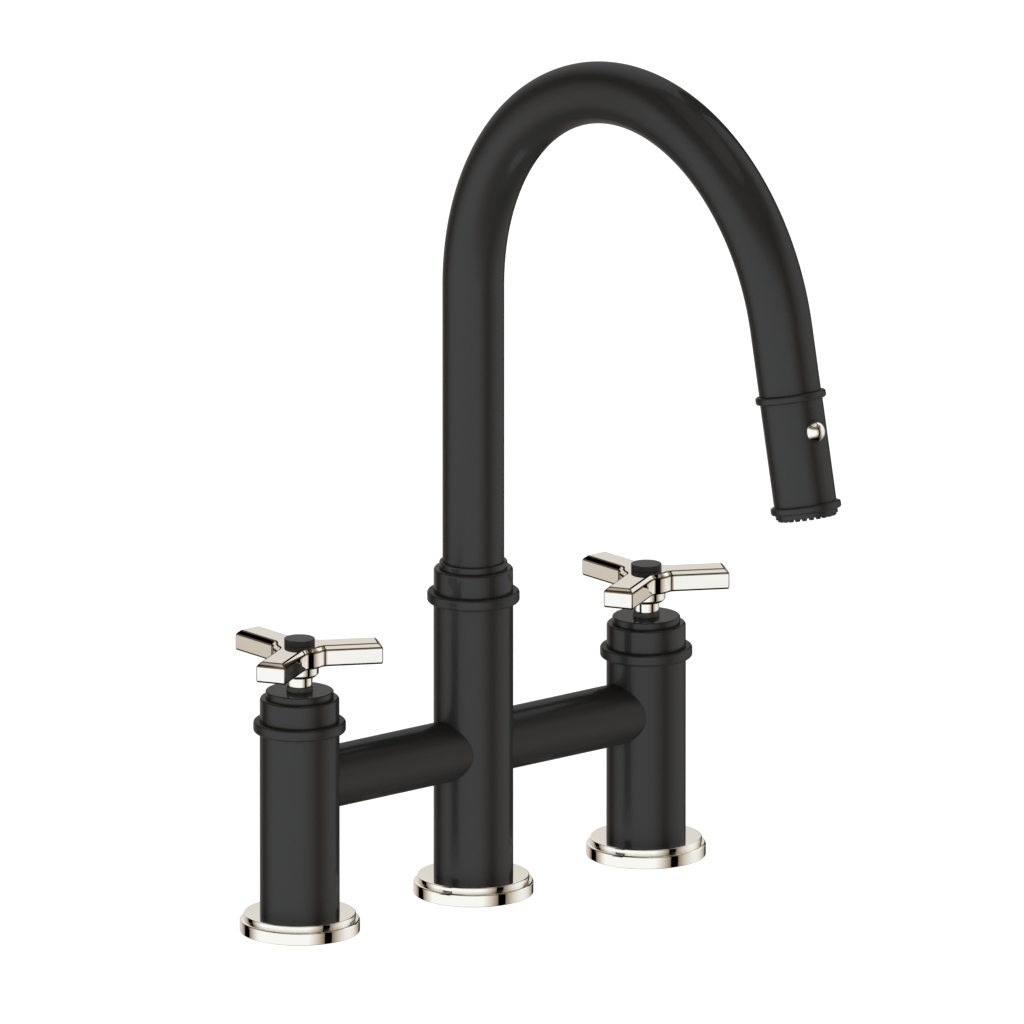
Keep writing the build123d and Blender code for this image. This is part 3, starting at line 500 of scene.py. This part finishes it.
# ---------------------------------------------------------------- handle sleeves
# Under each handle a skirt and a narrower sleeve hide the spindle down to the bushing. They are one
# piece of brass, turned, polished and plated with nickel.
spindle_bore_r, sleeve_r, sleeve_bottom = 4.05, 5.9, 114.1
skirt_r, skirt_bottom, skirt_top, skirt_slope = 8.75, 118.7, 124.1, 1.3
sleeve_outline = [
    (spindle_bore_r, sleeve_bottom),
    (sleeve_r, sleeve_bottom),
    (sleeve_r, skirt_bottom),
    (skirt_r - skirt_slope, skirt_bottom),
    (skirt_r, skirt_bottom + skirt_slope),
    (skirt_r, skirt_top),
    (spindle_bore_r, skirt_top),
]
for side, x in outer_pillars:
    shape = turned(sleeve_outline, rounds=[(1, 0.25), (2, 0.2), (3, 0.25), (4, 0.5), (5, 0.25)])
    placed(shape, Matrix.Translation((x / 1000, 0, 0)))
    valve, packed = side + "_valve", side + "_handle_sleeve"
    piece(side + "_sleeve_and_skirt", shape, valve, "polished_nickel", nickel, packed)

# ---------------------------------------------------------------- handles
# Solid three-arm handles, forged, milled flat and polished before plating. The arms end square, run
# into the hub in wide fillets, and carry one bevel along the whole top edge. All edges are eased.
arm_reach, arm_half_width = 37.1, 7.0
hub_r, hub_fillet = 12.1, 4.0
handle_bottom, handle_top = skirt_top, 133.6
bevel_drop, bevel_width = 1.8, 1.9
under_bevel = 0.5
edge_ease = 0.5
# The eased edges get their own nickel, painted far darker than plated nickel is. This is a painted
# reflection: near black on the lower edges, standing for the mirrored black pillars, and dark brown
# higher up.
reflection_dark_until, reflection_light_from = handle_bottom + 1.2, handle_bottom + 4.5  # lower edges mirror black pillars
painted_dark_edge_nickel, surface, place = new_finish(
    "nickel with painted dark edges", {"Metallic": 1.0, "Specular Tint": (0.15, 0.12, 0.08, 1.0)}
)
edge_height = place.node("ShaderNodeSeparateXYZ", {}, {0: place}, "Z")
above_painted_reflection = edge_height.smooth(reflection_dark_until / 1000, reflection_light_from / 1000)
painted_pillar_reflection = (0.030, 0.021, 0.012, 1.0)
painted_dark_edge_tones = mottle(place, 3.0, 3.0).mixed((0.15, 0.12, 0.085, 1.0), (0.21, 0.17, 0.12, 1.0))
feed(surface, "Base Color", above_painted_reflection.mixed(painted_pillar_reflection, painted_dark_edge_tones))
feed(surface, "Roughness", mottle(place, 1.0) * 0.1 + 0.08)
fillet_x = sqrt((hub_r + hub_fillet) ** 2 - (arm_half_width + hub_fillet) ** 2)
fillet_y = arm_half_width + hub_fillet
hub_angle = atan2(fillet_y, fillet_x)
for side, x in outer_pillars:
    shape = bmesh.new()
    tip = shape.verts.new((arm_reach / 1000, 0, 0))
    corner = shape.verts.new((arm_reach / 1000, arm_half_width / 1000, 0))
    root = shape.verts.new((fillet_x / 1000, arm_half_width / 1000, 0))
    shape.edges.new((tip, corner))
    shape.edges.new((corner, root))
    made = bmesh.ops.spin(
        shape,
        geom=[root],
        cent=(fillet_x / 1000, fillet_y / 1000, 0),
        axis=(0, 0, 1),
        angle=hub_angle - pi / 2,
        steps=6,
    )
    hub_start = made["geom_last"][0]
    bmesh.ops.spin(shape, geom=[hub_start], axis=(0, 0, 1), angle=pi / 3 - hub_angle, steps=3)
    bmesh.ops.mirror(shape, geom=shape.verts[:] + shape.edges[:], axis="Y", merge_dist=1e-7)
    half = shape.verts[:] + shape.edges[:]
    bmesh.ops.spin(shape, geom=half, axis=(0, 0, 1), angle=4 * pi / 3, steps=2, use_duplicate=True)
    bmesh.ops.remove_doubles(shape, verts=shape.verts, dist=1e-6)
    bmesh.ops.rotate(shape, matrix=Matrix.Rotation(pi / 2, 3, "Z"), verts=shape.verts)
    base = bmesh.ops.contextual_create(shape, geom=shape.edges[:])["faces"][0]
    raised_part = bmesh.ops.extrude_face_region(shape, geom=[base])["geom"]
    top = [part for part in raised_part if isinstance(part, bmesh.types.BMFace)][0]
    side_height = handle_top - bevel_drop - handle_bottom
    bmesh.ops.translate(shape, vec=(0, 0, side_height / 1000), verts=top.verts)
    bmesh.ops.translate(shape, vec=(0, 0, under_bevel / 1000), verts=base.verts)
    bmesh.ops.recalc_face_normals(shape, faces=shape.faces)
    for face, width, drop in ((top, bevel_width, bevel_drop), (base, under_bevel, under_bevel)):
        bmesh.ops.inset_region(
            shape,
            faces=[face],
            thickness=width / 1000,
            depth=drop / 1000,
            use_boundary=True,
            use_even_offset=True,
        )
    sharp = [edge for edge in shape.edges if edge.calc_face_angle(0) > radians(25.0)]
    eased = bmesh.ops.bevel(
        shape,
        geom=sharp,
        offset=edge_ease / 1000,
        affect="EDGES",
        segments=3,
        profile=0.5,
        material=-1,
    )["faces"]
    for face in eased:
        face.material_index = 1
    placed(shape, Matrix.Translation((x / 1000, 0, handle_bottom / 1000)))
    valve, packed = side + "_valve", side + "_handle"
    handle = piece(side + "_three_arm_handle", shape, valve, "polished_nickel", nickel, packed)
    handle.data.materials.append(painted_dark_edge_nickel)

# ---------------------------------------------------------------- screws and index caps
# A steel socket screw holds each handle down on its spindle, and a plain cap of black moulded
# plastic is pressed into the recess over it.
coat(steel, "left_handle_screw", "right_handle_screw")

black_plastic, surface, place = new_finish("black moulded plastic", {"Specular IOR Level": 0.05})
plastic_dark, plastic_light = (0.033, 0.033, 0.0335, 1.0), (0.040, 0.040, 0.0405, 1.0)
feed(surface, "Base Color", mottle(place, 3.0).mixed(plastic_dark, plastic_light))
feed(surface, "Roughness", mottle(place, 1.2, 3.0) * 0.10 + 0.14)
relief(surface, mottle(place, 0.35), 0.01, 0.4)

cap_foot_r, cap_foot, cap_r, cap_top = 5.0, 132.9, 6.95, 136.2
cap_outline = [
    (0, cap_foot),
    (cap_foot_r, cap_foot),
    (cap_foot_r, handle_top),
    (cap_r, handle_top),
    (cap_r, cap_top),
    (0, cap_top),
]
for side, x in outer_pillars:
    shape = turned(cap_outline, rounds=[(3, 0.2), (4, 0.35)])
    placed(shape, Matrix.Translation((x / 1000, 0, 0)))
    piece(side + "_cap", shape, side + "_valve", "black_plastic", black_plastic, side + "_index_cap")

# ---------------------------------------------------------------- spout swivel
# The spout turns on a brass journal in a pale nylon sleeve. Two rubber rings seal the journal, and
# a sprung steel clip under the sleeve keeps it from lifting out.
nylon, surface, place = new_finish("natural nylon", {"Specular IOR Level": 0.5})
nylon_pale, nylon_dull = (0.74, 0.74, 0.71, 1.0), (0.66, 0.66, 0.63, 1.0)
feed(surface, "Base Color", mottle(place, 6.0, 3.0).mixed(nylon_pale, nylon_dull))
feed(surface, "Roughness", mottle(place, 2.0, 3.0) * 0.2 + 0.32)
relief(surface, mottle(place, 0.6), 0.02, 0.3)
coat(nylon, "swivel_bearing")
coat(rubber, "swivel_rings")
coat(steel, "spout_clip")
coat(brass, "spout_journal")

# ---------------------------------------------------------------- spout tube
# One length of brass tube, drawn, bent to a single wide arc on a mandrel and coated matte black. Its
# mouth leans a little outwards from straight down.
tube_r, tube_wall = 13.95, 1.5
foot_z, arc_z, arc_r = 143.4, 283.3, 109.0
tilt = radians(12.3)
end_run, mouth_gap = 29.2, 0.15
outlet = Vector((0, -sin(tilt), -cos(tilt)))
arc_end = Vector((0, -arc_r * (1 + cos(tilt)), arc_z + arc_r * sin(tilt)))


def pipe_along_spout(
    radius, segments, arc_steps, bottom=None, first=0.0, last=pi - tilt, run=0.0, run_steps=1
):
    """An open pipe about the spout's line, from bottom on the column, or from one angle of the arc to
    another, to run past the end of the arc. Lengths are in millimetres."""
    arc_centre = Vector((0, -arc_r / 1000, arc_z / 1000))
    shape = bmesh.new()
    ring = bmesh.ops.create_circle(shape, segments=segments, radius=radius / 1000)["verts"]
    bmesh.ops.translate(shape, vec=(0, 0, arc_z / 1000), verts=ring)
    rim = shape.edges[:]
    if bottom is not None:
        grown = bmesh.ops.extrude_edge_only(shape, edges=rim)["geom"]
        bmesh.ops.translate(shape, vec=(0, 0, (bottom - arc_z) / 1000), verts=ring)
        ring = [part for part in grown if isinstance(part, bmesh.types.BMVert)]
        rim = [part for part in grown if isinstance(part, bmesh.types.BMEdge)]
    if first:
        turn = Matrix.Rotation(first, 3, "X")
        bmesh.ops.rotate(shape, cent=arc_centre, matrix=turn, verts=shape.verts)
    grown = bmesh.ops.spin(
        shape, geom=ring + rim, cent=arc_centre, axis=(1, 0, 0), angle=last - first, steps=arc_steps
    )["geom_last"]
    for _ in range(run_steps if run else 0):
        rim = [part for part in grown if isinstance(part, bmesh.types.BMEdge)]
        grown = bmesh.ops.extrude_edge_only(shape, edges=rim)["geom"]
        ring = [part for part in grown if isinstance(part, bmesh.types.BMVert)]
        bmesh.ops.translate(shape, vec=outlet * (run / run_steps / 1000), verts=ring)
    bmesh.ops.recalc_face_normals(shape, faces=shape.faces)
    return shape


shape = pipe_along_spout(
    tube_r, segments=96, arc_steps=120, bottom=foot_z, run=end_run - mouth_gap
)
bmesh.ops.solidify(shape, geom=shape.faces[:], thickness=tube_wall / 1000)
piece("gooseneck_tube", shape, "spout", "matte_black", matte_black, "spout_tube")

# ---------------------------------------------------------------- docking socket
# A pale plastic socket, pressed into the spout's mouth, guides the wand home, and a ring magnet
# behind it holds the wand there.
sintered, surface, place = new_finish("sintered magnet", {"Metallic": 0.6})
magnet_dark, magnet_light = (0.10, 0.10, 0.11, 1.0), (0.16, 0.16, 0.17, 1.0)
feed(surface, "Base Color", mottle(place, 0.4, 4.0).mixed(magnet_dark, magnet_light))
feed(surface, "Roughness", mottle(place, 1.0, 3.0) * 0.2 + 0.4)
relief(surface, mottle(place, 0.2), 0.02, 0.5)
coat(nylon, "spout_dock")
coat(sintered, "dock_magnet")

# ---------------------------------------------------------------- spray hose
# A rubber hose under a tight nylon braid. It runs up through the column and round the arc. Its last
# stretch, a separate piece here that rides on no body, would follow the wand out when that is pulled.
hose_r, hose_wall = 6.25, 2.45
hose_bottom = -43.5
hose_end_run, crimped_run = 11.3, 2.0
pull_travel = 180.0
following_arc = 36.0
joint_angle = pi - tilt - following_arc / arc_r
strands_round, strands_along = 16.0, 1.9  # how fast the strands wind, round the hose and along it

hose_cover, surface, place = new_finish("braided hose cover", {"Specular IOR Level": 0.4})
braid = place.node("ShaderNodeUVMap", {"uv_map": "braid"}, {})
round_hose = braid.node("ShaderNodeSeparateXYZ", {}, {0: braid}, "X")
along_hose = braid.node("ShaderNodeSeparateXYZ", {}, {0: braid}, "Y")


def strands(lean):
    """Rounded strands that wind round the hose one way: 0 between two of them, 1 on top of one."""
    winding = round_hose * strands_round + along_hose * lean
    return winding.node("ShaderNodeMath", {"operation": "SINE"}, {0: winding}) * 0.5 + 0.5


one_way, other_way = strands(strands_along), strands(-strands_along)
upper = one_way.maths("MAXIMUM", one_way, other_way)
tracer = strands(strands_along / 8).smooth(0.9, 0.97)
between_strands, on_strands = (0.012, 0.012, 0.013, 1.0), (0.13, 0.13, 0.135, 1.0)
plain_braid = upper.smooth(0.3, 1.0).mixed(between_strands, on_strands)
tracer_grey = (0.34, 0.34, 0.35, 1.0)
feed(surface, "Base Color", (tracer * one_way).smooth(0.5, 0.9).mixed(plain_braid, tracer_grey))
feed(surface, "Roughness", mottle(place, 1.0, 3.0) * 0.2 + 0.45)
relief(surface, upper + one_way * 0.25, 0.25, 0.8)

follow_start = Vector((0, (cos(joint_angle) - 1) * arc_r, arc_z + sin(joint_angle) * arc_r)) / 1000
follow_end = arc_end / 1000 + outlet * ((hose_end_run - crimped_run) / 1000)


def wrap_in_braid(shape, follows):
    """Gives a hose piece the map that its braid reads: the angle round it and the millimetres along
    it. Where the piece follows the wand, these are the lengths of the hose when it is pulled out."""
    layer = shape.loops.layers.uv.new("braid")
    reach = follow_end - follow_start
    for face in shape.faces:
        before = None
        for loop in face.loops:
            x, y, z = loop.vert.co * 1000
            angle = min(max(atan2(z - arc_z, y + arc_r), 0.0), pi - tilt) if z > arc_z else 0.0
            outwards = Vector((0, cos(angle), sin(angle)))
            forwards = Vector((0, -sin(angle), cos(angle)))
            on_line = Vector((0, -arc_r, arc_z)) + outwards * arc_r
            off_line = Vector((x, y, z)) - on_line
            turn = atan2(off_line.dot(outwards), x)
            length = angle * arc_r + off_line.dot(forwards)
            if follows:
                share = (loop.vert.co - follow_start).dot(reach) / reach.length_squared
                share = min(max(share, 0.0), 1.0)
                length += pull_travel * share * share * (3 - 2 * share)
            if before is not None:
                turn += 2 * pi * round((before - turn) / (2 * pi))
            before = turn
            loop[layer].uv = (turn, length)


shape = pipe_along_spout(
    hose_r, segments=32, arc_steps=72, bottom=hose_bottom, last=joint_angle
)
bmesh.ops.solidify(shape, geom=shape.faces[:], thickness=hose_wall / 1000)
wrap_in_braid(shape, False)
under_deck(piece("braided_hose", shape, "spout", "hose_cover", hose_cover, "spray_hose"))

shape = pipe_along_spout(
    hose_r, segments=32, arc_steps=24, first=joint_angle, run=hose_end_run, run_steps=8
)
bmesh.ops.solidify(shape, geom=shape.faces[:], thickness=hose_wall / 1000)
wrap_in_braid(shape, True)
hose_tail = piece("braided_hose_end", shape, None, "hose_cover", hose_cover)
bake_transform(hose_tail)

# ---------------------------------------------------------------- hose coupling
# A turned brass coupling is crimped on the end of the hose. The wand turns on its flange, so that
# the hose isn't twisted.
coat(brass, "hose_coupling")

# ---------------------------------------------------------------- wand
# A turned barrel with a raised ring at each end, coated matte black like the spout. Its neck slides
# into the spout's socket.
coat(matte_black, "wand_shell", "wand_top_ring", "wand_bottom_ring")

# ---------------------------------------------------------------- diverter
# Inside the wand a moulded block and the spool in its cross bore switch the water between stream and
# spray. The spool is turned with three grooves, and a rubber ring in each seals it to the bore.
coat(nylon, "diverter_body")
parting = (arc_end + outlet * end_run) / 1000
wand_frame = Matrix.Translation(parting) @ Matrix(
    ((1, 0, 0), (0, -cos(tilt), -sin(tilt)), (0, sin(tilt), -cos(tilt)))
).to_4x4()
button_along = 17.7
button_place = Matrix.Translation((0, 0, button_along / 1000)) @ Matrix.Rotation(-pi / 2, 4, "X")
across_wand = wand_frame @ button_place
spool_r, spool_end, spool_top = 2.98, -7.75, 13.0
groove_r, groove_half, ring_r = 2.2, 0.7, 0.4
groove_places = (-5.5, 0.5, 6.0)
spool_outline = [(0, spool_end), (spool_r, spool_end)]
for along_spool in groove_places:
    spool_outline += [
        (spool_r, along_spool - groove_half),
        (groove_r, along_spool - groove_half),
        (groove_r, along_spool + groove_half),
        (spool_r, along_spool + groove_half),
    ]
spool_outline += [(spool_r, spool_top), (0, spool_top)]
shape = placed(turned(spool_outline, rounds=[(1, 0.4), (14, 0.2)], steps=48), across_wand)
piece("grooved_spool", shape, "button", "pale_plastic", nylon, "diverter_spool")

shape = bmesh.new()
for along_spool in groove_places:
    section = bmesh.ops.create_circle(shape, segments=12, radius=ring_r / 1000)["verts"]
    bmesh.ops.rotate(shape, matrix=Matrix.Rotation(pi / 2, 3, "X"), verts=section)
    bmesh.ops.translate(shape, vec=((groove_r + ring_r) / 1000, 0, along_spool / 1000), verts=section)
sections = shape.verts[:] + shape.edges[:]
bmesh.ops.spin(shape, geom=sections, axis=(0, 0, 1), angle=2 * pi, steps=48, use_merge=True)
bmesh.ops.recalc_face_normals(shape, faces=shape.faces)
piece("spool_rings", placed(shape, across_wand), "button", "black_rubber", rubber)

# ---------------------------------------------------------------- spray button
# A domed button, turned and plated like the handles, hollow behind for a coiled spring of steel
# wire that sits in a pocket of the diverter.
button_r, button_bottom, button_top = 4.92, 9.5, 18.3
hollow_r, hollow_top = 4.3, 13.0
dome_bottom, dome_corner_r, dome_round = 14.4, 4.04, 3.97
button_outline = [
    (0, hollow_top),
    (hollow_r, hollow_top),
    (hollow_r, button_bottom),
    (button_r, button_bottom),
    (button_r, dome_bottom),
    (dome_corner_r, button_top),
    (0, button_top),
]
shape = placed(turned(button_outline, rounds=[(3, 0.2), (5, dome_round)]), across_wand)
piece("domed_button", shape, "button", "polished_nickel", nickel, "spray_button")

wire_r, coil_r = 0.4, 3.75
coil_bottom, coil_turns, coil_pitch, coil_steps = 7.82, 4, 1.17, 48
shape = bmesh.new()
wire = bmesh.ops.create_circle(shape, cap_ends=True, segments=12, radius=wire_r / 1000)["verts"]
bmesh.ops.rotate(shape, matrix=Matrix.Rotation(pi / 2, 3, "X"), verts=wire)
bmesh.ops.translate(shape, vec=(coil_r / 1000, 0, coil_bottom / 1000), verts=wire)
bmesh.ops.spin(
    shape,
    geom=shape.faces[:] + shape.edges[:] + shape.verts[:],
    axis=(0, 0, 1),
    dvec=(0, 0, coil_pitch / 1000 / coil_steps),
    angle=2 * pi * coil_turns,
    steps=coil_steps * coil_turns,
)
bmesh.ops.recalc_face_normals(shape, faces=shape.faces)
spring = piece("coiled_spring", placed(shape, across_wand), "wand", "steel", steel, "button_spring")
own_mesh(spring)

# ---------------------------------------------------------------- spray face
# A black plate carries a ring of soft rubber nozzles, each moulded with its own hole, and a plastic
# aerator in the middle mixes air into the plain stream.
coat(matte_black, "spray_face")
coat(nylon, "aerator")
face_end, mat_top, nozzle_end = 55.2, 55.65, 56.7
mat_hole_r, mat_r = 8.6, 13.55
nozzle_sunk = 0.1
outer_nozzles = (12.15, 24, 1.3, 1.05, 0.45, 0.0)  # circle, count, root, tip, hole, how much shorter
inner_nozzles = (10.0, 12, 0.8, 0.6, 0.28, 0.4)
shape = turned(
    [(mat_hole_r, face_end), (mat_r, face_end), (mat_r, mat_top), (mat_hole_r, mat_top)],
    rounds=[(2, 0.2), (3, 0.15)],
)
for circle_r, count, root_r, tip_r, hole_r, drop in (outer_nozzles, inner_nozzles):
    nozzle = turned(
        [
            (0, mat_top - nozzle_sunk),
            (root_r, mat_top - nozzle_sunk),
            (tip_r, nozzle_end - drop),
            (hole_r, nozzle_end - drop),
            (hole_r, mat_top + nozzle_sunk),
            (0, mat_top + nozzle_sunk),
        ],
        rounds=[(2, 0.2)],
        steps=16,
    )
    placed(nozzle, Matrix.Translation((circle_r / 1000, 0, 0)))
    first_nozzle = nozzle.verts[:] + nozzle.edges[:] + nozzle.faces[:]
    turn = 2 * pi / count
    bmesh.ops.spin(
        nozzle,
        geom=first_nozzle,
        axis=(0, 0, 1),
        angle=turn * (count - 1),
        steps=count - 1,
        use_duplicate=True,
    )
    ring_of_nozzles = bpy.data.meshes.new("nozzles")
    nozzle.to_mesh(ring_of_nozzles)
    nozzle.free()
    shape.from_mesh(ring_of_nozzles)
    bpy.data.meshes.remove(ring_of_nozzles)
piece("nozzle_ring", placed(shape, wand_frame), "wand", "black_rubber", rubber, "nozzle_mat")
